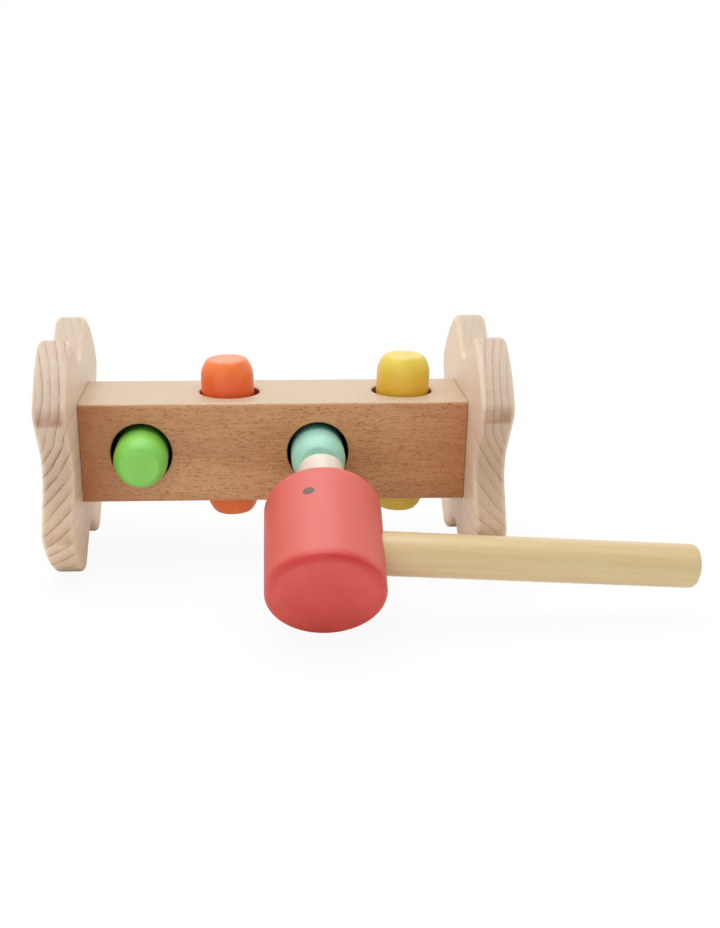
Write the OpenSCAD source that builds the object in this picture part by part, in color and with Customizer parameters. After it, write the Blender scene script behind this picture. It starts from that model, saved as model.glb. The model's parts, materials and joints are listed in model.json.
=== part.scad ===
// Peg pounding bench: a drilled beam between two end boards that stand on any of
// their four sides, four pegs held by rubber rings, and a mallet whose beak squeaks.
// The origin is on the floor under the middle of the beam, which runs along X.

/* [Beam] */
// Length of the beam between the end boards
beam_length = 190; // [180:1:220]
// Width and height of the square beam
beam_side = 50; // [46:0.5:56]
// Rounding of the beam's long edges
beam_edge_radius = 2.2; // [1:0.1:4]
// Diameter of the peg holes
hole_diameter = 30; // [27:0.5:32]
// Chamfer round each mouth of a peg hole
hole_chamfer = 0.6; // [0.2:0.1:1]
// Distance of the outer holes' axes from the ends of the beam
end_margin = 30; // [29:0.5:33]

/* [End boards] */
// Height of an end board
board_height = 115.6; // [110:0.1:126]
// Depth of an end board from front to back
board_depth = 123.4; // [115:0.1:134]
// Thickness of an end board
board_thickness = 15.5; // [13:0.5:18]
// Rounding of an end board's edges
board_edge_radius = 2.9; // [1:0.1:4]
// Depth of the notch in the middle of each side
notch_depth = 13.9; // [12:0.1:18]
// Radius at the bottom of a notch
notch_radius = 16.5; // [12:0.1:20]
// Distance of each foot from the middle of its side
foot_offset = 29.4; // [27:0.1:34]
// Radius of a foot
foot_radius = 8; // [6:0.5:11]
// Depth of the flat sanded on each foot
foot_flat = 0.3; // [0.1:0.05:0.6]
// Radius of the slight bulge at each corner, from one foot to the next
corner_radius = 72; // [50:1:100]
// Height of the beam's axis above the middle of the end boards
beam_rise = 1.2; // [0:0.1:4]

/* [Dowels] */
// Diameter of the dowels that hold the end boards
dowel_diameter = 8; // [6:0.5:10]
// Length of a dowel
dowel_length = 20; // [17:0.5:22]
// Depth of a dowel in its end board
dowel_seat = 9; // [8:0.5:10]
// Distance between the two dowels of an end board
dowel_spacing = 30; // [26:0.5:34]

/* [Pegs] */
// Length of a peg
peg_length = 79.4; // [74:0.1:84]
// Gap between a peg and the wall of its hole
peg_gap = 1.8; // [1.7:0.1:2.2]
// Diameter of the flat on each end of a peg
peg_flat_diameter = 18.7; // [14:0.1:22]
// How far the green peg stands out at the front
green_stand_out = 15; // [9:0.5:18]
// How far the teal peg stands out at the front
teal_stand_out = 15; // [9:0.5:18]
// How far the orange peg stands out on top
orange_stand_out = 16.8; // [9:0.1:18]
// How far the yellow peg stands out on top
yellow_stand_out = 18; // [9:0.5:20]
// Share of its free play by which each level peg droops at the front
level_droop_share = 0.75; // [0:0.05:0.8]
// Share of its free play by which the orange peg leans to the left
orange_lean_share = 0.45; // [0:0.05:0.8]
// Share of its free play by which the yellow peg leans to the right
yellow_lean_share = 0.22; // [0:0.01:0.8]
// Thickness of the rubber ring in each hole
ring_section = 3.6; // [3:0.1:4.5]

/* [Mallet] */
// Diameter of the mallet's head
head_diameter = 53.5; // [49:0.5:58]
// Length of the mallet's head
head_length = 56.8; // [53:0.1:64]
// Rounding round the front of the head
head_front_radius = 7.5; // [4:0.5:9]
// Rounding round the back of the head
head_back_radius = 2.6; // [1:0.1:4]
// Diameter of the handle
handle_diameter = 20; // [17:0.5:22]
// Length of the handle beyond the head's axis
handle_reach = 169; // [120:1:190]
// Depth of the handle past the head's axis
handle_seat = 8; // [4:0.5:12]
// Distance of the handle's axis from the front of the head
handle_setback = 30.2; // [29:0.1:33]
// Rounding at the free end of the handle
handle_end_radius = 3; // [1:0.5:6]

/* [Beak] */
// Diameter of the beak
beak_diameter = 21.3; // [18:0.1:22]
// How far the beak stands out of the head
beak_stand_out = 21.3; // [17:0.1:24]
// Rounding round the tip of the beak
beak_edge_radius = 1.2; // [0.5:0.1:2]
// Width of the flange that keeps the beak in
flange_width = 2.7; // [2:0.1:3.5]
// Thickness of the flange
flange_thickness = 2.5; // [1.5:0.1:3]
// Thickness of the collar in front of the flange
collar_thickness = 3; // [2:0.1:3.5]

/* [Squeaker] */
// Length of the rubber bulb behind the beak
bulb_length = 8.2; // [7.5:0.1:9]
// Diameter of the bulb over its ribs
bulb_diameter = 17; // [14:0.5:20]
// Depth of the bulb's ribs
bulb_rib = 1.5; // [0.5:0.1:2.5]
// Wall of the bulb
bulb_wall = 1.2; // [0.8:0.1:1.6]
// Ribs on the bulb
bulb_ribs = 3; // [2:1:4]
// Thickness of the plug that carries the reed
plug_thickness = 2.4; // [2:0.1:3]
// Diameter of the reed
reed_diameter = 5; // [4:0.1:6]
// Thickness of the reed
reed_thickness = 0.5; // [0.3:0.1:0.8]

/* [Mallet's place] */
// Gap along Y between the beak's tip and the teal peg
strike_gap = 13.4; // [10:0.1:30]
// Height of the head's lowest rim above the floor
mallet_lift = 0.5; // [0.5:0.1:10]
// Angle by which the beak points up
mallet_tilt = 27.5; // [20:0.5:35]
// Angle by which the beak points to the right
mallet_turn = 1; // [-5:0.5:5]
// Angle by which the handle is turned down about the head's axis
handle_drop = 4; // [-5:0.5:8]

/* [Hidden] */
// Clearance of glued and seated pieces
seat_fit = 0.05;
// Clearance of a ring on its peg and of the beak in its collar
running_fit = 0.07;
// Play at the ends of dowels, the handle and the flange
end_play = 0.3;
// How far a cut runs past the face it opens
overrun = 1;
// Width of the step that the reed sits on
reed_step = 1;
// Steps of a board's rounded edge, of each tight arc of its outline and of each corner's bulge
edge_steps = 6;
arc_steps = 12;
corner_steps = 5;
$fn = 96;

hole_radius = hole_diameter / 2;
peg_radius = hole_radius - peg_gap;
peg_dome = sqrt(pow(peg_radius, 2) - pow(peg_flat_diameter / 2, 2));
ring_inner = peg_radius + running_fit;
ring_centre = ring_inner + ring_section / 2;
groove_radius = ring_inner + ring_section + seat_fit;
groove_width = ring_section + 2 * seat_fit;
// Hole places along X, from left to right: green, orange, teal, yellow
hole_count = 4;
hole_pitch = (beam_length - 2 * end_margin) / (hole_count - 1);
hole_x = [for (i = [0 : hole_count - 1]) end_margin - beam_length / 2 + i * hole_pitch];
beam_height = board_height / 2 + beam_rise;

// Angle of a peg that takes up a share of its free play at the mouths of its hole
function lean_angle(share) = atan(share * peg_gap / (beam_side / 2));
level_droop = lean_angle(level_droop_share);
orange_lean = lean_angle(orange_lean_share);
yellow_lean = lean_angle(yellow_lean_share);

// Places of a notch's and a foot's centre on a side that lies at reach from the board's middle
function notch_place(reach) = reach - notch_depth + notch_radius;
function foot_place(reach) = reach + foot_flat - foot_radius;
// Slope of the straight flank between a notch and a foot
foot_drop = foot_place(0) - notch_place(0);
flank_slope = atan2(foot_drop, foot_offset)
    + asin((foot_radius + notch_radius) / norm([foot_offset, foot_drop]));
// The two feet at a corner, and the bulge that touches both
top_foot = [foot_offset, foot_place(board_height / 2)];
back_foot = [foot_place(board_depth / 2), foot_offset];
foot_span = back_foot - top_foot;
corner_setback = sqrt(pow(corner_radius - foot_radius, 2) - pow(norm(foot_span) / 2, 2));
corner_centre = (top_foot + back_foot) / 2
    - corner_setback / norm(foot_span) * [-foot_span.y, foot_span.x];
function corner_angle(foot) = atan2(foot.y - corner_centre.y, foot.x - corner_centre.x);
corner_start = corner_angle(top_foot);
corner_end = corner_angle(back_foot);

head_radius = head_diameter / 2;
handle_radius = handle_diameter / 2;
beak_radius = beak_diameter / 2;
flange_radius = beak_radius + flange_width;
bore_radius = flange_radius + end_play;
// Depths below the front of the head
flange_front = collar_thickness + end_play;
bulb_front = flange_front + flange_thickness + end_play;
plug_front = bulb_front + bulb_length;
bore_depth = plug_front + plug_thickness;
bulb_radius = bulb_diameter / 2;
reed_radius = reed_diameter / 2;

teal_x = hole_x[2];
tip_y = -beam_side / 2 - teal_stand_out - strike_gap;
// Height of the beak's tip with the rounded rim of the head mallet_lift above the floor
tip_z = mallet_lift + head_back_radius
    + (beak_stand_out + head_length - head_back_radius) * sin(mallet_tilt)
    + (head_radius - head_back_radius) * cos(mallet_tilt);

beech = [0.72, 0.50, 0.34];
maple = [0.87, 0.78, 0.68];
rubber = [0.07, 0.07, 0.07];
red_paint = [0.85, 0.28, 0.26];
cream = [0.95, 0.91, 0.83];
pale_wood = [0.85, 0.74, 0.54];
green_paint = [0.50, 0.78, 0.35];
orange_paint = [0.95, 0.49, 0.20];
teal_paint = [0.62, 0.84, 0.77];
yellow_paint = [0.94, 0.79, 0.22];

// Places a child made along +Z in a level hole, with +Z to the front
module in_level_hole(x, droop = 0) {
    translate([x, 0, beam_height]) rotate([90 + droop, 0, 0]) children();
}

// Places a child made along +Z in an upright hole, with +Z on top
module in_upright_hole(x, lean = 0) {
    translate([x, 0, beam_height]) rotate([0, lean, 0]) children();
}

// Places a child made round the head's axis, with the head below z = 0 and the handle along +X
module in_head() {
    translate([teal_x, tip_y, tip_z])
        rotate([0, 0, -mallet_turn]) rotate([mallet_tilt - 90, 0, 0]) rotate([0, 0, handle_drop])
            translate([0, 0, -beak_stand_out]) children();
}

module rounded_square(side, radius) {
    straight = side - 2 * radius;
    square([side, straight], center = true);
    square([straight, side], center = true);
    for (y = [-1, 1], z = [-1, 1])
        translate([y * straight / 2, z * straight / 2]) circle(radius);
}

// A peg hole with chamfered mouths and the groove that holds its ring
module peg_hole() {
    half = beam_side / 2;
    cylinder(r = hole_radius, h = beam_side + 2 * overrun, center = true);
    cylinder(r = groove_radius, h = groove_width, center = true);
    for (end = [0, 1]) mirror([0, 0, end])
        translate([0, 0, half - hole_chamfer])
            cylinder(r1 = hole_radius, r2 = hole_radius + hole_chamfer + overrun,
                h = hole_chamfer + overrun);
}

// The two dowels of the right end board, or the bores that they sit in
module dowel_pair(clearance, play) {
    start = beam_length / 2 + dowel_seat - dowel_length - play;
    for (side = [-1, 1])
        translate([start, 0, beam_height + side * dowel_spacing / 2]) rotate([0, 90, 0])
            cylinder(d = dowel_diameter + 2 * clearance, h = dowel_length + 2 * play);
}

module beam() {
    color(beech) difference() {
        translate([-beam_length / 2, 0, beam_height]) rotate([90, 0, 90])
            linear_extrude(beam_length) rounded_square(beam_side, beam_edge_radius);
        for (i = [0, 2]) in_level_hole(hole_x[i]) peg_hole();
        for (i = [1, 3]) in_upright_hole(hole_x[i]) peg_hole();
        for (end = [0, 1]) mirror([end, 0, 0]) dowel_pair(seat_fit, end_play);
    }
}

function flipped(p) = [p.x, -p.y];

// Points of an arc, without the first and last when its neighbours have them
function arc_points(centre, radius, from, to, steps = arc_steps, skip = 0) =
    [for (i = [skip : steps - skip]) let (a = from + (to - from) * i / steps)
        centre + radius * [cos(a), sin(a)]];

// Half of a board's outline, drawn in by inset: two notches, the four feet beside them, two corners
function half_outline(inset) =
    let (top_notch = [0, notch_place(board_height / 2)], back_notch = [notch_place(board_depth / 2), 0])
    let (foot = foot_radius - inset, notch = notch_radius + inset, bulge = corner_radius - inset)
    concat(
        arc_points(top_notch, notch, 270 - flank_slope, 270 + flank_slope),
        arc_points(top_foot, foot, 90 + flank_slope, corner_start),
        arc_points(corner_centre, bulge, corner_start, corner_end, corner_steps, 1),
        arc_points(back_foot, foot, corner_end, -flank_slope),
        arc_points(back_notch, notch, 180 - flank_slope, 180 + flank_slope),
        arc_points(flipped(back_foot), foot, flank_slope, -corner_end),
        arc_points(flipped(corner_centre), bulge, -corner_end, -corner_start, corner_steps, 1),
        arc_points(flipped(top_foot), foot, -corner_start, -90 - flank_slope));

// The whole outline, its half turned round once, with a flat on each foot
function board_outline(inset) =
    let (reach = [board_depth / 2 - inset, board_height / 2 - inset])
    [for (turn = [1, -1], p = half_outline(inset))
        [for (i = [0, 1]) max(-reach[i], min(reach[i], turn * p[i]))]];

// Depth and inset of each ring of a board, from the inner face to the outer one
edge_rings = [for (i = [0 : edge_steps]) let (a = 90 * i / edge_steps)
    board_edge_radius * [1 - cos(a), 1 - sin(a)]];
board_rings = concat(edge_rings,
    [for (i = [edge_steps : -1 : 0]) [board_thickness - edge_rings[i][0], edge_rings[i][1]]]);

// An end board lofted through its rings, with its inner face at x = 0
module board_blank() {
    outlines = [for (ring = board_rings) board_outline(ring[1])];
    count = len(outlines[0]);
    last = len(board_rings) - 1;
    points = [for (r = [0 : last], p = outlines[r]) [board_rings[r][0], p.x, p.y]];
    middles = [[0, 0, 0], [board_thickness, 0, 0]];
    inner = len(points);
    outer = inner + 1;
    walls = [for (r = [0 : last - 1], i = [0 : count - 1])
        let (a = r * count + i, b = r * count + (i + 1) % count)
            each [[a, b, a + count], [b, b + count, a + count]]];
    inner_face = [for (i = [0 : count - 1]) [(i + 1) % count, i, inner]];
    outer_face = [for (i = [0 : count - 1]) [last * count + i, last * count + (i + 1) % count, outer]];
    polyhedron(concat(points, middles), concat(walls, inner_face, outer_face));
}

module end_board() {
    color(maple) difference() {
        translate([beam_length / 2, 0, board_height / 2]) board_blank();
        dowel_pair(seat_fit, end_play);
    }
}

module left_board() { mirror([1, 0, 0]) end_board(); }
module right_board() { end_board(); }

module left_dowels() { color(pale_wood) mirror([1, 0, 0]) dowel_pair(0, 0); }
module right_dowels() { color(pale_wood) dowel_pair(0, 0); }

// Half of a peg's section: a straight side between two domes that end in flats
module peg_section() {
    intersection() {
        square([peg_radius, peg_length]);
        union() {
            translate([0, peg_dome]) square([peg_radius, peg_length - 2 * peg_dome]);
            for (y = [peg_dome, peg_length - peg_dome]) translate([0, y]) circle(peg_radius);
        }
    }
}

// A peg along Z whose upper flat is stand_out beyond the beam
module peg(stand_out) {
    translate([0, 0, beam_side / 2 + stand_out - peg_length]) rotate_extrude() peg_section();
}

module green_peg() { color(green_paint) in_level_hole(hole_x[0], level_droop) peg(green_stand_out); }
module orange_peg() { color(orange_paint) in_upright_hole(hole_x[1], -orange_lean) peg(orange_stand_out); }
module teal_peg() { color(teal_paint) in_level_hole(hole_x[2], level_droop) peg(teal_stand_out); }
module yellow_peg() { color(yellow_paint) in_upright_hole(hole_x[3], yellow_lean) peg(yellow_stand_out); }

module grip_ring() {
    color(rubber) rotate_extrude() translate([ring_centre, 0]) circle(d = ring_section);
}

module green_ring() { in_level_hole(hole_x[0]) grip_ring(); }
module orange_ring() { in_upright_hole(hole_x[1]) grip_ring(); }
module teal_ring() { in_level_hole(hole_x[2]) grip_ring(); }
module yellow_ring() { in_upright_hole(hole_x[3]) grip_ring(); }

// Half of the head's section, below its front face
module head_section() {
    front = head_front_radius;
    back = head_back_radius;
    translate([0, back - head_length]) square([head_radius, head_length - front - back]);
    translate([0, -head_length]) square([head_radius - back, head_length - front]);
    translate([head_radius - back, back - head_length]) circle(back);
    translate([0, -head_length + back]) square([head_radius - front, head_length - back]);
    translate([head_radius - front, -front]) circle(front);
}

module mallet_head() {
    color(red_paint) in_head() difference() {
        rotate_extrude() head_section();
        translate([0, 0, -bore_depth]) cylinder(r = bore_radius, h = bore_depth + overrun);
        translate([-handle_seat - end_play, 0, -handle_setback]) rotate([0, 90, 0])
            cylinder(r = handle_radius + seat_fit, h = handle_seat + end_play + head_radius + overrun);
    }
}

module mallet_handle() {
    body = handle_seat + handle_reach;
    rounded = handle_radius - handle_end_radius;
    color(pale_wood) in_head() translate([-handle_seat, 0, -handle_setback]) rotate([0, 90, 0])
        rotate_extrude() {
            square([handle_radius, body - handle_end_radius]);
            square([rounded, body]);
            translate([rounded, body - handle_end_radius]) circle(handle_end_radius);
        }
}

module beak_collar() {
    color(red_paint) in_head() translate([0, 0, -collar_thickness]) difference() {
        cylinder(r = bore_radius - seat_fit, h = collar_thickness);
        translate([0, 0, -overrun])
            cylinder(r = beak_radius + running_fit, h = collar_thickness + 2 * overrun);
    }
}

module beak() {
    shaft = beak_stand_out + flange_front;
    rounded = beak_radius - beak_edge_radius;
    color(cream) in_head() rotate_extrude() {
        translate([0, -flange_front]) square([beak_radius, shaft - beak_edge_radius]);
        translate([0, -flange_front]) square([rounded, shaft]);
        translate([rounded, beak_stand_out - beak_edge_radius]) circle(beak_edge_radius);
        translate([0, -flange_front - flange_thickness]) square([flange_radius, flange_thickness]);
    }
}

// The ribbed bulb, open to the plug behind it
module squeaker_bulb() {
    inner = bulb_radius - bulb_rib - bulb_wall;
    ribs = [for (i = [0 : 2 * bulb_ribs])
        [bulb_radius - (i % 2 == 0 ? bulb_rib : 0), -plug_front + bulb_length * i / (2 * bulb_ribs)]];
    color(rubber) in_head() rotate_extrude()
        polygon(concat(ribs, [[0, -bulb_front], [0, -bulb_front - bulb_wall],
            [inner, -bulb_front - bulb_wall], [inner, -plug_front]]));
}

// The plug, with a stepped hole for the reed
module squeaker_plug() {
    color(cream) in_head() translate([0, 0, -bore_depth]) difference() {
        cylinder(r = bore_radius - seat_fit, h = plug_thickness);
        translate([0, 0, plug_thickness / 2]) cylinder(r = reed_radius + seat_fit, h = plug_thickness);
        translate([0, 0, -overrun]) cylinder(r = reed_radius - reed_step, h = plug_thickness + overrun);
    }
}

module squeaker_reed() {
    color(cream) in_head() translate([0, 0, plug_thickness / 2 - bore_depth])
        cylinder(r = reed_radius, h = reed_thickness);
}

beam();
left_board();
right_board();
left_dowels();
right_dowels();
green_peg();
orange_peg();
teal_peg();
yellow_peg();
green_ring();
orange_ring();
teal_ring();
yellow_ring();
mallet_head();
mallet_handle();
beak_collar();
beak();
squeaker_bulb();
squeaker_plug();
squeaker_reed();
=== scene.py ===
import json
from math import cos, e, pi, radians, sin, tau

import bmesh
import bpy
from mathutils import Matrix, Vector


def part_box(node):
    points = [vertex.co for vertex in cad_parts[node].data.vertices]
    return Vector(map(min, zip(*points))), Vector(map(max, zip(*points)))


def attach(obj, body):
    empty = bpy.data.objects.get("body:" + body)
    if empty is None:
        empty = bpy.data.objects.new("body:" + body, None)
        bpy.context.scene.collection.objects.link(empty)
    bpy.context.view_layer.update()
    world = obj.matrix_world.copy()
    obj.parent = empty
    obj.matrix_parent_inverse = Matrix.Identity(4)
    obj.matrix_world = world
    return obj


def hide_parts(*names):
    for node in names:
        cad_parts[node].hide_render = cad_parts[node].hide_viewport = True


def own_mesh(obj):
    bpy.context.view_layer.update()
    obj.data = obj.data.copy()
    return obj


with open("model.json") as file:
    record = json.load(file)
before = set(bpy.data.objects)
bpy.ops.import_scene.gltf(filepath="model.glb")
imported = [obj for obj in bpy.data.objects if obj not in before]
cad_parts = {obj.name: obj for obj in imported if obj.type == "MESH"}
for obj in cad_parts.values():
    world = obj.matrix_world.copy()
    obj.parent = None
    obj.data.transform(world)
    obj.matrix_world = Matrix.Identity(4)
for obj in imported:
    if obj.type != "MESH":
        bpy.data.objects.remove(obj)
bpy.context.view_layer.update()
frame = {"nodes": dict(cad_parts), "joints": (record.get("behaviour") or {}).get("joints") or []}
nodes = frame["nodes"]
joints = {joint["name"]: joint for joint in frame["joints"]}
scene = bpy.context.scene
print("frame loaded:", len(nodes), "nodes")


class Sock:
    def __init__(self, tree, out):
        self.tree = tree
        self.out = out

    def node(self, kind, ins=(), out=0, **props):  # any other node, wired in the same tree
        made = self.tree.nodes.new(kind)
        for key, value in props.items():
            setattr(made, key, value)
        for key, value in dict(ins).items():
            if isinstance(value, Sock):
                self.tree.links.new(value.out, made.inputs[key])
            else:
                made.inputs[key].default_value = value
        return Sock(self.tree, made.outputs[out])

    def math(self, operation, a, b=0.0, c=0.0):
        return self.node("ShaderNodeMath", {0: a, 1: b, 2: c}, operation=operation)

    def __add__(self, other):
        return self.math("ADD", self, other)

    def __radd__(self, other):
        return self.math("ADD", other, self)

    def __sub__(self, other):
        return self.math("SUBTRACT", self, other)

    def __rsub__(self, other):
        return self.math("SUBTRACT", other, self)

    def __mul__(self, other):
        return self.math("MULTIPLY", self, other)

    def __rmul__(self, other):
        return self.math("MULTIPLY", other, self)

    def __truediv__(self, other):
        return self.math("DIVIDE", self, other)

    def __rtruediv__(self, other):
        return self.math("DIVIDE", other, self)

    def __pow__(self, other):
        return self.math("POWER", self, other)


def linear(r, g, b):  # display colour to the linear one that a socket takes
    return tuple(((c / 255 + 0.055) / 1.055) ** 2.4 for c in (r, g, b)) + (1.0,)


def startMaterial(name, **constants):
    mat = bpy.data.materials.new(name)
    mat.use_nodes = True
    tree = mat.node_tree
    shader = tree.nodes["Principled BSDF"]
    for key, value in constants.items():
        shader.inputs[key.replace("_", " ").title().replace("Ior", "IOR")].default_value = value
    return mat, shader, Sock(tree, tree.nodes.new("ShaderNodeTexCoord").outputs["Object"])


def feed(shader, name, sock):
    sock.tree.links.new(sock.out, shader.inputs[name])


def noise(p, scale, detail=2.0, rough=0.5, warp=0.0):
    ins = {"Vector": p, "Scale": scale, "Detail": detail, "Roughness": rough, "Distortion": warp}
    return p.node("ShaderNodeTexNoise", ins)


def woodNoise(p, scales, detail=2.0, rough=0.5, warp=0.0):  # noise with its own scale along each axis
    drawn = p.node("ShaderNodeVectorMath", {0: p, 1: scales}, operation="MULTIPLY")
    return noise(drawn, 1.0, detail, rough, warp)


def ramp(value, low, high, toLow=0.0, toHigh=1.0):  # smooth step between two values
    ins = {"Value": value, 1: low, 2: high, 3: toLow, 4: toHigh}
    return value.node("ShaderNodeMapRange", ins, interpolation_type="SMOOTHSTEP")


def mix(factor, a, b):
    return factor.node("ShaderNodeMix", {0: factor, 6: a, 7: b}, out=2, data_type="RGBA")


def bump(height, strength, distance):
    ins = {"Height": height, "Strength": strength, "Distance": distance}
    return height.node("ShaderNodeBump", ins, out="Normal")


def part(p, axis):
    return p.node("ShaderNodeSeparateXYZ", {0: p}, out=axis)


def within(p, origin, axes):  # point in a turned frame, metres from its origin
    q = p.node("ShaderNodeVectorMath", {0: p, 1: origin}, operation="SUBTRACT")
    spot = {}
    for label, axis in zip("XYZ", axes):
        spot[label] = q.node("ShaderNodeVectorMath", {0: q, 1: axis}, out="Value", operation="DOT_PRODUCT")
    return q.node("ShaderNodeCombineXYZ", spot)


def middle(name):
    low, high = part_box(name)
    return (Vector(low) + Vector(high)) / 2


def dress(mat, *names):
    for name in names:
        for slot in nodes[name].material_slots:
            slot.material = mat


# mallet frame: origin at the front of the head, z out of the beak, x along the handle
mallet = {"front": (0.021337, -0.072290, 0.049548), "tilt": 27.5, "turn": 1.0, "drop": 4.0}
malletTurn = Matrix.Rotation(radians(-mallet["turn"]), 3, "Z")
malletTurn = malletTurn @ Matrix.Rotation(radians(mallet["tilt"] - 90), 3, "X")
malletTurn = malletTurn @ Matrix.Rotation(radians(mallet["drop"]), 3, "Z")
malletAxes = [tuple(malletTurn.col[i]) for i in range(3)]

# beam: oiled beech with short dark flecks along x and redder, darker ends (partly the wood's tone, partly
# painted shade next to the end boards); painted sheen on the top face; painted shade on the hole walls and
# a painted shadow in the joint at each end
beech = {"light": linear(209, 156, 106), "dark": linear(182, 126, 80), "end": linear(178, 107, 54),
         "top": linear(206, 186, 159), "fleck": linear(152, 92, 53), "joint": linear(78, 46, 28),
         "levelHoleShade": linear(52, 32, 20), "uprightHoleShade": linear(162, 104, 68), "holeRadius": 0.015,
         "holeShadeEdge": (0.00008, 0.00025), "edge": 0.0010, "jointShadowWidth": 0.0006, "endFrom": 0.55,
         "endFade": 0.02, "fibre": (90, 1100, 1100), "broad": (9, 45, 45), "dash": (380, 1700, 1700),
         "speck": (800, 3000, 3000), "roughness": 0.42, "relief": 0.0001}
holes = {"green_ring": ("Z", "levelHoleShade"), "teal_ring": ("Z", "levelHoleShade"),
         "orange_ring": ("Y", "uprightHoleShade"), "yellow_ring": ("Y", "uprightHoleShade")}


# painted shade: the hole walls are darkened, near black in the level holes and brown in the upright ones,
# where more light gets in
def holeShade(p, colour):
    for ring, (other, wall) in holes.items():
        at = middle(ring)
        dx = part(p, "X") - at.x
        dy = part(p, other) - (at.z if other == "Z" else at.y)
        away = (dx * dx + dy * dy) ** 0.5 - beech["holeRadius"]
        colour = mix(ramp(away, *beech["holeShadeEdge"], 1.0, 0.0), colour, beech[wall])
    return colour


def beechMaterial():
    mat, shader, p = startMaterial("beechBeam", specular_ior_level=0.5, coat_weight=0.3, coat_roughness=0.3)
    endX, _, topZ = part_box("beam")[1]
    x, z = part(p, "X"), part(p, "Z")
    out = p.math("ABSOLUTE", x)
    fibre = woodNoise(p, beech["fibre"], 3.0, 0.6)
    broad = woodNoise(p, beech["broad"], 2.0, 0.5, 0.3)
    dash = woodNoise(p, beech["dash"], 1.0, 0.4)
    speck = woodNoise(p, beech["speck"], 0.0)
    fleck = ramp(dash, 0.56, 0.70) * 0.8 + ramp(speck, 0.58, 0.72) * 0.5
    sheenTopFace = ramp(z, topZ - beech["edge"], topZ - beech["edge"] * 0.2)
    right = ramp(x, -beech["endFade"], beech["endFade"], 1.0, 0.5)  # the right end is less dark
    endsToneAndShade = ramp(out, endX * beech["endFrom"], endX) * right
    colour = mix(ramp(fibre * 0.45 + broad * 0.55, 0.35, 0.65), beech["dark"], beech["light"])
    # redder, darker ends: partly the wood's tone, partly painted shade next to the end boards
    colour = mix(endsToneAndShade * (0.45 + broad * 0.7), colour, beech["end"])
    # painted sheen: the top face is mixed toward a paler, greyer colour, standing in for the overhead light
    # and its reflection
    colour = mix(sheenTopFace * 0.85, colour, beech["top"])
    colour = mix(fleck * (0.76 - sheenTopFace * 0.45), colour, beech["fleck"])
    # painted shadow: a dark line in the joint where each end of the beam meets its board
    colour = mix(ramp(out, endX - beech["jointShadowWidth"], endX, 0.0, 0.75), colour, beech["joint"])
    feed(shader, "Base Color", holeShade(p, colour))
    feed(shader, "Roughness", beech["roughness"] + fibre * 0.12 + fleck * 0.06)
    feed(shader, "Normal", bump(fibre * 0.4 - fleck * 0.4, 0.25, beech["relief"]))
    return mat


dress(beechMaterial(), "beam")

# end boards: pale lacquered wood, growth lines on the edges, plain faces
board = {"light": linear(223, 199, 171), "dark": linear(209, 181, 150), "line": linear(148, 94, 58),
         "high": linear(197, 178, 160), "face": linear(235, 212, 186), "noseBand": linear(158, 92, 44),
         "lineCore": 0.0001, "lineWidth": 0.0009, "wobble": 0.007, "bend": (30, 5, 30), "broken": 120,
         "fibre": (800, 90, 800), "pore": (1700, 320, 1700), "broad": (40, 12, 22), "blotch": (150, 60, 90),
         "round": 0.003, "fadeY": (-0.045, 0.015), "waist": 0.055, "waistHalf": (0.008, 0.030),
         "highZ": (0.02, 0.095), "bandBelow": 0.0025, "bandAbove": 0.0090, "bandY": (-0.054, -0.048),
         "roughness": 0.44, "relief": 0.0001}
boards = {"left_board": {"pith": (-0.150, 0.094), "rings": 14.5, "waist": 1.65, "lines": 0.95,
                         "bands": ((0.0840, 0.62), (0.0270, 0.40))},
          "right_board": {"pith": (0.158, 0.094), "rings": 17.0, "waist": 1.1, "lines": 0.62,
                          "bands": ((0.0840, 0.82), (0.0270, 0.35))}}


def growthLines(p, pith, count):  # rings round the pith that widen outward, thin dark late wood
    dx, dz = part(p, "X") - pith[0], part(p, "Z") - pith[1]
    bend = woodNoise(p, board["bend"]) * board["wobble"]
    away = (dx * dx + dz * dz) ** 0.5 + bend
    rings = p.math("LOGARITHM", away * 100, e) * count  # away in centimetres
    phase = p.math("FRACT", rings)
    own = {"W": p.math("FLOOR", rings)}
    strength = p.node("ShaderNodeTexWhiteNoise", own, out="Value", noise_dimensions="1D")
    thin = ramp((1 - phase) * away / count, board["lineCore"], board["lineWidth"], 1.0, 0.0)
    late = ramp(phase, 0.3, 1.0)
    broken = ramp(noise(p, board["broken"]), 0.30, 0.60, 0.45, 1.0)
    return (thin * 0.75 + late * 0.45) * (strength * 0.75 + 0.25) * broken


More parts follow.
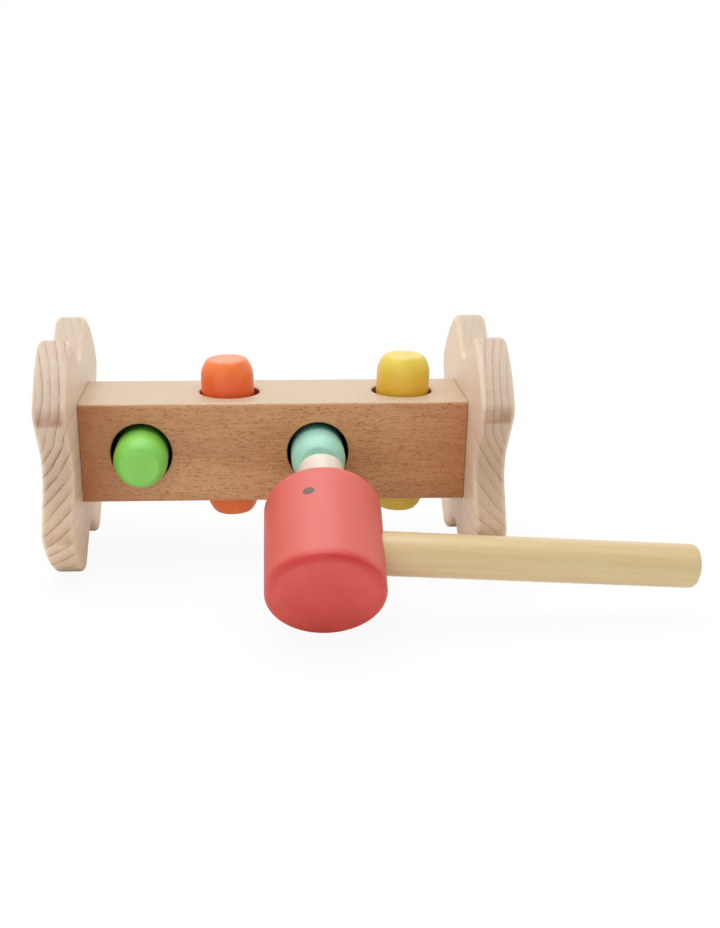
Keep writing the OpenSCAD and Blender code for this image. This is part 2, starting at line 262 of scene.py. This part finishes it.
def boardMaterial(name, look):
    mat, shader, p = startMaterial("paleBoard." + name, specular_ior_level=0.45, coat_weight=0.15,
                                   coat_roughness=0.35)
    low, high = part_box(name)
    x, y, z = part(p, "X"), part(p, "Y"), part(p, "Z")
    onEdge = ramp(x, low[0], low[0] + board["round"]) * ramp(x, high[0] - board["round"], high[0], 1.0, 0.0)
    fade = ramp(y, *board["fadeY"], 1.0, 0.25)  # fainter toward the back
    middleZ = p.math("ABSOLUTE", z - board["waist"])
    waist = ramp(middleZ, *board["waistHalf"], look["waist"], 1.0)  # stronger between the noses
    line = growthLines(p, look["pith"], look["rings"]) * (onEdge * 0.75 + 0.25) * fade * waist
    fibre = woodNoise(p, board["fibre"], 3.0, 0.6)
    pore = ramp(woodNoise(p, board["pore"], 1.0), 0.60, 0.74)
    broad = woodNoise(p, board["broad"])
    blotch = ramp(woodNoise(p, board["blotch"]), 0.30, 0.65, 0.35, 1.0)
    front = ramp(y, *board["bandY"], 1.0, 0.0)
    colour = mix(ramp(fibre * 0.4 + broad * 0.6, 0.36, 0.64), board["dark"], board["light"])
    colour = mix(ramp(z, *board["highZ"]) * 0.7, colour, board["high"])
    colour = mix((1 - onEdge) * 0.9, colour, board["face"])
    for height, amount in look["bands"]:  # a browner band at each front nose, fading upward from it
        up = z - height
        band = ramp(up, -board["bandBelow"], 0.0) * ramp(up, 0.0, board["bandAbove"], amount, 0.0)
        colour = mix(band * front * blotch * onEdge, colour, board["noseBand"])
    feed(shader, "Base Color", mix(line * look["lines"] + pore * 0.14, colour, board["line"]))
    feed(shader, "Roughness", board["roughness"] + fibre * 0.12 + line * 0.05)
    feed(shader, "Normal", bump(fibre * 0.5 - pore * 0.5 - line * 0.3, 0.25, board["relief"]))
    return mat


for name, look in boards.items():
    dress(boardMaterial(name, look), name)

# dowels: plain turned wood, hidden in their bores
dowel = {"light": linear(226, 196, 152), "dark": linear(204, 168, 120), "fibre": (60, 1200, 1200),
         "roughness": 0.5, "relief": 0.0001}


def dowelMaterial():
    mat, shader, p = startMaterial("dowelWood")
    fibre = woodNoise(p, dowel["fibre"], 3.0, 0.6)
    feed(shader, "Base Color", mix(fibre, dowel["dark"], dowel["light"]))
    feed(shader, "Roughness", dowel["roughness"] + fibre * 0.2)
    feed(shader, "Normal", bump(fibre, 0.4, dowel["relief"]))
    return mat


dress(dowelMaterial(), "left_dowels", "right_dowels")

# pegs: satin paint over turned wood
pegs = {"green": {"colour": linear(134, 214, 88), "deep": linear(126, 206, 80), "soft": 0.0006},
        "orange": {"colour": linear(243, 126, 52), "deep": linear(236, 114, 42),
                   "low": linear(236, 88, 20), "bloomAndSheen": 0.15, "soft": 0.0013},
        "teal": {"colour": linear(166, 224, 203), "deep": linear(158, 216, 195), "soft": 0.0006},
        "yellow": {"colour": linear(231, 206, 72), "deep": linear(224, 197, 62),
                   "low": linear(228, 178, 38), "bloomAndSheen": 0.08, "soft": 0.0013}}
pegPaint = {"bloomAndSheen": linear(238, 226, 208), "sheenDepth": 0.0014, "along": 70, "across": 900, "skin": 1500,
            "mottle": 110, "roughness": 0.36, "relief": 0.0001}
pegShape = {"Radius": 0.0132, "Length": 0.0794, "Flat": 0.00935, "Around": 113, "Rings": 128}
pegMesh = {"flattest": 0.02, "merge": 0.000002}


def pegMaterial(name, look):
    mat, shader, p = startMaterial("pegPaint." + name, coat_weight=0.3, coat_roughness=0.26)
    level = abs(joints[name + "_slide"]["axis"][1]) > 0.5
    along, across = pegPaint["along"], pegPaint["across"]
    grain = woodNoise(p, (across, along, across) if level else (across, across, along), 3.0, 0.6)
    skin = noise(p, pegPaint["skin"])
    mottle = noise(p, pegPaint["mottle"], 3.0)
    colour = mix(ramp(mottle * 0.7 + grain * 0.3, 0.35, 0.65), look["deep"], look["colour"])
    if not level:
        z, top = part(p, "Z"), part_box(name + "_peg")[1][2]
        low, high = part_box("beam")[0][2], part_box("beam")[1][2]
        inside = ramp(z, low, high) * ramp(z, high, top, 0.9, 0.0)
        colour = mix(inside, colour, look["low"])  # painted shade: a darker, deeper colour where the peg enters the hole
        pale = ramp(z, top - pegPaint["sheenDepth"], top - pegPaint["sheenDepth"] / 2, 0.0, look["bloomAndSheen"])
        colour = mix(pale, colour, pegPaint["bloomAndSheen"])  # painted sheen: the upper flats are mixed a little toward a pale colour, standing in for a reflection of the white surroundings
    feed(shader, "Base Color", colour)
    feed(shader, "Roughness", pegPaint["roughness"] + mottle * 0.08 + skin * 0.06)
    feed(shader, "Normal", bump(grain * 0.6 + skin * 0.4, 0.16, pegPaint["relief"]))
    return mat


def pegTree():  # a grid rolled into a peg: two domes cut flat, with the crease softened
    tree = bpy.data.node_groups.new("turnedPeg", "GeometryNodeTree")
    for label in [*pegShape, "Soft"]:
        kind = "NodeSocketInt" if isinstance(pegShape.get(label), int) else "NodeSocketFloat"
        tree.interface.new_socket(label, socket_type=kind)
    tree.interface.new_socket("Paint", socket_type="NodeSocketMaterial")
    tree.interface.new_socket("Peg", in_out="OUTPUT", socket_type="NodeSocketGeometry")
    given = {s.name: Sock(tree, s) for s in tree.nodes.new("NodeGroupInput").outputs}
    radius, flat = given["Radius"], given["Flat"]
    ins = {"Size X": 1.0, "Size Y": 1.0, "Vertices X": given["Around"], "Vertices Y": given["Rings"]}
    grid = radius.node("GeometryNodeMeshGrid", ins, out="Mesh")
    place = grid.node("GeometryNodeInputPosition", out="Position")
    turn = part(place, "X") * tau
    tip = (0.5 - part(place, "Y")) * pi  # 0 at one end, pi at the other
    lean = tip.math("COSINE", tip)
    dome = (radius * radius - flat * flat) ** 0.5
    level = dome / tip.math("MAXIMUM", tip.math("ABSOLUTE", lean), pegMesh["flattest"])
    reach = tip.math("SMOOTH_MIN", radius, level, given["Soft"])
    wide = reach * tip.math("SINE", tip)
    high = reach * lean + tip.math("SIGN", lean) * (given["Length"] / 2 - dome)
    spot = {"X": wide * turn.math("COSINE", turn), "Y": wide * turn.math("SINE", turn), "Z": high}
    spot = grid.node("ShaderNodeCombineXYZ", spot)
    shape = grid.node("GeometryNodeSetPosition", {"Geometry": grid, "Position": spot})
    shape = shape.node("GeometryNodeMergeByDistance", {"Geometry": shape, "Distance": pegMesh["merge"]})
    shape = shape.node("GeometryNodeSetShadeSmooth", {"Geometry": shape})
    shape = shape.node("GeometryNodeRealizeInstances", {"Geometry": shape})
    shape = shape.node("GeometryNodeSetMaterial", {"Geometry": shape, "Material": given["Paint"]})
    tree.links.new(shape.out, tree.nodes.new("NodeGroupOutput").inputs["Peg"])
    return tree


def makePeg(name, look, tree):
    node = name + "_peg"
    peg = bpy.data.objects.new("turned_" + node, bpy.data.meshes.new(node))
    scene.collection.objects.link(peg)
    modifier = peg.modifiers.new("turned", "NODES")
    modifier.node_group = tree
    values = dict(pegShape, Soft=look["soft"], Paint=pegMaterial(name, look))
    for socket in tree.interface.items_tree:
        if socket.in_out == "INPUT":
            modifier[socket.identifier] = values[socket.name]
    shown = peg.evaluated_get(bpy.context.evaluated_depsgraph_get())
    mesh = bpy.data.meshes.new_from_object(shown)
    peg.modifiers.remove(modifier)
    axis = Vector(joints[name + "_slide"]["axis"])
    mesh.transform(Matrix.Translation(middle(node)) @ axis.to_track_quat("Z", "Y").to_matrix().to_4x4())
    peg.data = mesh
    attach(peg, node)
    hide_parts(node)
    name + "_paint"
    return len(mesh.polygons)


turnedPeg = pegTree()
print("pegs turned:", [makePeg(name, look, turnedPeg) for name, look in pegs.items()], "faces")

# grip rings and bulb: black rubber
rubber = {"colour": linear(26, 25, 24), "dust": linear(52, 50, 48), "speck": 2200, "bloomAndSheen": 180,
          "roughness": 0.38, "relief": 0.00008}


def rubberMaterial():
    mat, shader, p = startMaterial("blackRubber")
    speck = noise(p, rubber["speck"])
    bloomAndSheen = noise(p, rubber["bloomAndSheen"], 3.0)
    feed(shader, "Base Color", mix(ramp(bloomAndSheen, 0.45, 0.8), rubber["colour"], rubber["dust"]))
    feed(shader, "Roughness", rubber["roughness"] + bloomAndSheen * 0.25)
    feed(shader, "Normal", bump(speck, 0.2, rubber["relief"]))
    return mat


blackRubber = rubberMaterial()
dress(blackRubber, "green_ring", "orange_ring", "teal_ring", "yellow_ring")

# squeaker bulb: three soft ribs, open at the back
bulb = {"front": -0.0061, "back": -0.0143, "radius": 0.0085, "rib": 0.0015, "ribs": 3, "wall": 0.0012,
        "around": 72, "steps": 48, "merge": 0.000002, "crease": 40, "keep": 0.4}


def bulbProfile():  # over the ribs from the back edge to the front, then back inside
    low, high, wide = bulb["back"], bulb["front"], bulb["radius"]
    outer = []
    for step in range(bulb["steps"] + 1):
        share = step / bulb["steps"]
        dip = bulb["rib"] * (1 + cos(share * bulb["ribs"] * tau)) / 2
        outer.append((wide - dip, low + (high - low) * share))
    inside = wide - bulb["rib"] - bulb["wall"]
    roof = high - bulb["wall"]
    return outer + [(0.0, high), (0.0, roof), (inside, roof), (inside, low)]


def makeBulb():
    profile = bulbProfile()
    around = bulb["around"]
    shape = bmesh.new()
    rings = []
    for wide, high in profile:
        turns = [tau * step / around for step in range(around)]
        rings.append([shape.verts.new((wide * cos(a), wide * sin(a), high)) for a in turns])
    for i, ring in enumerate(rings):
        j = (i + 1) % len(rings)
        if profile[i][0] + profile[j][0] > 0:  # the two points on the axis are not joined
            for k in range(around):
                shape.faces.new((ring[k - 1], ring[k], rings[j][k], rings[j][k - 1]))
    bmesh.ops.remove_doubles(shape, verts=shape.verts, dist=bulb["merge"])
    bmesh.ops.recalc_face_normals(shape, faces=shape.faces)
    mesh = bpy.data.meshes.new("ribbed_bulb")
    shape.to_mesh(mesh)
    shape.free()
    mesh.transform(Matrix.Translation(mallet["front"]) @ malletTurn.to_4x4())
    mesh.shade_smooth()
    mesh.set_sharp_from_angle(angle=radians(bulb["crease"]))
    mesh.materials.append(blackRubber)
    piece = bpy.data.objects.new("ribbed_bulb", mesh)
    scene.collection.objects.link(piece)
    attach(piece, "mallet")
    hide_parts("squeaker_bulb")
    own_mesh(piece)
    return len(mesh.polygons)


print("bulb made:", makeBulb(), "faces")

# mallet head: red satin paint with two eye dots, a painted highlight on the upper side and painted shade
# along the rim
head = {"colour": linear(214, 76, 63), "deep": linear(205, 67, 55), "rim": linear(199, 28, 17),
        "rimAt": (0.0258, -0.0556), "rimReach": 0.0042, "side": linear(216, 98, 85),
        "eye": linear(90, 64, 60), "eyeAt": (-0.00889, -0.02523, -0.01789), "eyeRadius": 0.0027,
        "eyeLength": 0.0021, "eyeSoft": 0.0002, "eyeRagged": 0.0006, "ragged": 700, "rimCore": 0.0008,
        "upperY": (-0.0265, 0.0060), "sheenZ": (-0.0540, -0.0500), "skin": 1300, "grain": (1100, 1100, 90),
        "mottle": 90, "roughness": 0.42, "relief": 0.0001}


def headMaterial():
    mat, shader, p = startMaterial("redPaint", coat_weight=0.5, coat_roughness=0.46)
    q = within(p, mallet["front"], malletAxes)
    skin = noise(p, head["skin"], 3.0, 0.6)
    grain = woodNoise(q, head["grain"], 3.0, 0.6)
    mottle = noise(p, head["mottle"], 3.0)
    colour = mix(ramp(mottle * 0.5 + skin * 0.5, 0.35, 0.65), head["deep"], head["colour"])
    upper = ramp(part(q, "Y"), *head["upperY"], 1.0, 0.0)
    paintedSheen = ramp(part(q, "Z"), *head["sheenZ"], 0.0, 0.8) * upper
    colour = mix(paintedSheen, colour, head["side"])  # painted highlight: the upper side is mixed toward a paler pink, standing in for the overhead light's sheen
    rimRadius, rimZ = head["rimAt"]
    wide = (part(q, "X") * part(q, "X") + part(q, "Y") * part(q, "Y")) ** 0.5 - rimRadius
    deep = part(q, "Z") - rimZ
    rim = ramp((wide * wide + deep * deep) ** 0.5, head["rimCore"], head["rimReach"], 1.0, 0.0)
    colour = mix(rim * (0.25 + upper * 0.75), colour, head["rim"])  # painted shade: a darker, deeper red band along the rounded rim, strongest on the upper rim
    x, y, z = head["eyeAt"]
    side = q.math("ABSOLUTE", part(q, "Y"))  # the same dot on both sides
    dx, dy = part(q, "X") - x, side + y
    dz = (part(q, "Z") - z) * (head["eyeRadius"] / head["eyeLength"])
    ragged = (noise(p, head["ragged"]) - 0.5) * head["eyeRagged"]
    away = (dx * dx + dy * dy + dz * dz) ** 0.5 + ragged
    dot = ramp(away, head["eyeRadius"] - head["eyeSoft"], head["eyeRadius"] + head["eyeSoft"], 1.0, 0.0)
    feed(shader, "Base Color", mix(dot * (0.82 + skin * 0.2), colour, head["eye"]))
    feed(shader, "Roughness", head["roughness"] + mottle * 0.08 + skin * 0.08)
    feed(shader, "Normal", bump(skin * 0.6 + grain * 0.4, 0.2, head["relief"]))
    return mat


dress(headMaterial(), "mallet_head", "beak_collar")

# handle: pale lacquered wood, fine grain along its length
handle = {"light": linear(217, 193, 143), "dark": linear(208, 181, 129), "line": linear(184, 151, 101),
          "fibre": (30, 1300, 1300), "streak": (11, 240, 240), "pore": (240, 2600, 2600), "roughness": 0.40,
          "relief": 0.0001}


def handleMaterial():
    mat, shader, p = startMaterial("paleHandle", coat_weight=0.8, coat_roughness=0.34)
    q = within(p, mallet["front"], malletAxes)
    fibre = woodNoise(q, handle["fibre"], 3.0, 0.6)
    streak = woodNoise(q, handle["streak"], 2.0, 0.5, 0.4)
    pore = ramp(woodNoise(q, handle["pore"], 1.0), 0.62, 0.76)
    colour = mix(ramp(fibre * 0.5 + streak * 0.5, 0.32, 0.68), handle["dark"], handle["light"])
    feed(shader, "Base Color", mix(pore * 0.25 + ramp(streak, 0.62, 0.78) * 0.15, colour, handle["line"]))
    feed(shader, "Roughness", handle["roughness"] + fibre * 0.14)
    feed(shader, "Normal", bump(fibre * 0.6 - pore * 0.4, 0.2, handle["relief"]))
    return mat


dress(handleMaterial(), "mallet_handle")

# beak, plug and reed: cream satin plastic
cream = {"colour": linear(229, 219, 203), "deep": linear(222, 209, 190), "skin": 1600, "mottle": 130,
         "roughness": 0.36, "relief": 0.00008}


def creamMaterial():
    mat, shader, p = startMaterial("creamBeak", coat_weight=0.15, coat_roughness=0.25)
    skin = noise(p, cream["skin"])
    mottle = noise(p, cream["mottle"], 3.0)
    feed(shader, "Base Color", mix(ramp(mottle, 0.35, 0.65), cream["deep"], cream["colour"]))
    feed(shader, "Roughness", cream["roughness"] + mottle * 0.08 + skin * 0.06)
    feed(shader, "Normal", bump(skin, 0.15, cream["relief"]))
    return mat


dress(creamMaterial(), "beak", "squeaker_plug", "squeaker_reed")
print("materials done:", len(bpy.data.materials))

# floor: pale, white to the camera away from the object, with a faint shadow near it
floorLook = {"size": 60.0, "colour": (0.92, 0.92, 0.92, 1.0), "pale": (0.95, 0.95, 0.95, 1.0),
             "speck": 60, "roughness": 0.7, "glowNear": 0.92, "near": 0.20, "far": 0.70}


def makeFloor():
    mesh = bpy.data.meshes.new("floor")
    half = floorLook["size"] / 2
    corners = [(-half, -half, 0), (half, -half, 0), (half, half, 0), (-half, half, 0)]
    mesh.from_pydata(corners, [], [(0, 1, 2, 3)])
    floor = bpy.data.objects.new("floor", mesh)
    scene.collection.objects.link(floor)
    mat, shader, p = startMaterial("paleFloor", specular_ior_level=0.1)
    speck = noise(p, floorLook["speck"], 3.0)
    feed(shader, "Base Color", mix(speck, floorLook["colour"], floorLook["pale"]))
    feed(shader, "Roughness", floorLook["roughness"] + speck * 0.1)
    tree = mat.node_tree
    glow = tree.nodes.new("ShaderNodeEmission")
    path = tree.nodes.new("ShaderNodeLightPath")
    seen = Sock(tree, path.outputs["Is Camera Ray"]) + Sock(tree, path.outputs["Is Transmission Ray"])
    away = p.node("ShaderNodeVectorMath", {0: p}, out="Value", operation="LENGTH")
    share = seen * ramp(away, floorLook["near"], floorLook["far"], floorLook["glowNear"], 1.0)
    both = {0: share, 1: Sock(tree, shader.outputs[0]), 2: Sock(tree, glow.outputs[0])}
    mixed = share.node("ShaderNodeMixShader", both)
    tree.links.new(mixed.out, tree.nodes["Material Output"].inputs["Surface"])
    mesh.materials.append(mat)


makeFloor()

# soft studio light: a bright back wall, a dimmer front, wide lamps overhead and in front
sky = {"back": 0.95, "front": 0.56, "from": -0.6, "to": 0.5}


def makeWorld():
    world = bpy.data.worlds.new("studio")
    scene.world = world
    world.use_nodes = True
    tree = world.node_tree
    back = tree.nodes["Background"]
    back.inputs["Color"].default_value = (1.0, 1.0, 1.0, 1.0)
    seen = Sock(tree, tree.nodes.new("ShaderNodeLightPath").outputs["Is Camera Ray"])
    way = Sock(tree, tree.nodes.new("ShaderNodeTexCoord").outputs["Generated"])
    glow = ramp(part(way, "Y"), sky["from"], sky["to"], sky["front"], sky["back"])
    tree.links.new((seen * (1 - glow) + glow).out, back.inputs["Strength"])


makeWorld()
lamps = {"over": {"at": (-0.10, 0.05, 0.95), "aim": (0.0, 0.0, 0.05), "size": 1.0, "power": 4.8},
         "front": {"at": (-0.45, -1.05, 0.50), "aim": (0.0, 0.0, 0.05), "size": 0.9, "power": 1.8}}
for name, lamp in lamps.items():
    light = bpy.data.lights.new(name, "AREA")
    light.shape = "DISK"
    light.size = lamp["size"]
    light.energy = lamp["power"]
    lampObj = bpy.data.objects.new(name, light)
    lampObj.location = lamp["at"]
    lampObj.rotation_euler = (Vector(lamp["aim"]) - Vector(lamp["at"])).to_track_quat("-Z", "Y").to_euler()
    scene.collection.objects.link(lampObj)
print("floor and light done")

# camera: the photo's angle, image taken as 720 x 928
eye = {"at": (-0.0091, -0.6032, 0.2319), "yaw": 1.90, "pitch": 22.23, "focal": 1220.1,
       "centre": (294.3, 572.0), "image": (720, 928), "sensor": 36.0, "nearest": 0.01}


def makeCamera():
    cam = bpy.data.cameras.new("camera")
    camObj = bpy.data.objects.new("camera", cam)
    scene.collection.objects.link(camObj)
    yaw, pitch = radians(eye["yaw"]), radians(eye["pitch"])
    look = Vector((sin(yaw) * cos(pitch), cos(yaw) * cos(pitch), -sin(pitch)))
    camObj.location = eye["at"]
    camObj.rotation_euler = look.to_track_quat("-Z", "Y").to_euler()
    wide, tall = eye["image"]
    cam.sensor_width = eye["sensor"]
    cam.lens = eye["focal"] * eye["sensor"] / tall
    cam.shift_x = (wide / 2 - eye["centre"][0]) / tall
    cam.shift_y = (eye["centre"][1] - tall / 2) / tall
    cam.clip_start = eye["nearest"]
    scene.camera = camObj


makeCamera()
scene.view_settings.view_transform = "Standard"
print("camera done")
